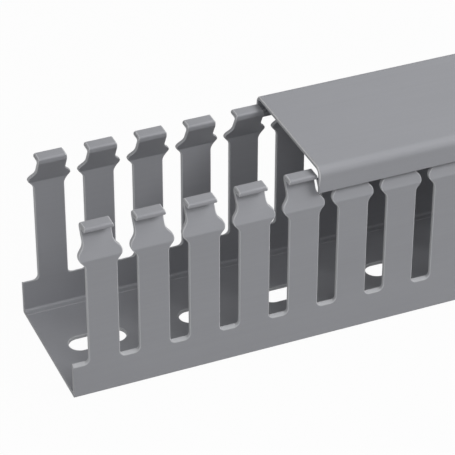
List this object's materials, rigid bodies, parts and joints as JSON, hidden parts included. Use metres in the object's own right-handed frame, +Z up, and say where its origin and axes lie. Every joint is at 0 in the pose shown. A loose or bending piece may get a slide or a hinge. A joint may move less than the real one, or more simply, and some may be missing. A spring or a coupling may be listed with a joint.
{
  "type": "slotted wire duct",
  "caption": "Straight slotted wire duct: U-shaped finger-walled trough with fixing slots in the base and a cover that clips over the lips and slides along them.",
  "frame": {"origin": "centre of the middle fixing slot on the underside of the base, half way along and half way across the trough", "axes": "+X along the duct, away from the end that the cover leaves open; +Y across it; +Z up, out of the base"},
  "size_m": [1.0982, 0.0584, 0.0764],
  "materials": {
    "trough_pvc": "extruded rigid PVC, mid grey, satin",
    "cover_pvc": "extruded rigid PVC, mid grey, satin"
  },
  "bodies": {
    "trough": {"slotted_trough": "trough_pvc"},
    "cover": {"snap_cover": "cover_pvc"}
  },
  "joints": [
    {"name": "cover_slide", "type": "slide", "parent": "trough", "child": "cover", "axis": [1, 0, 0], "range_m": [-0.0982, 0.4]}
  ]
}
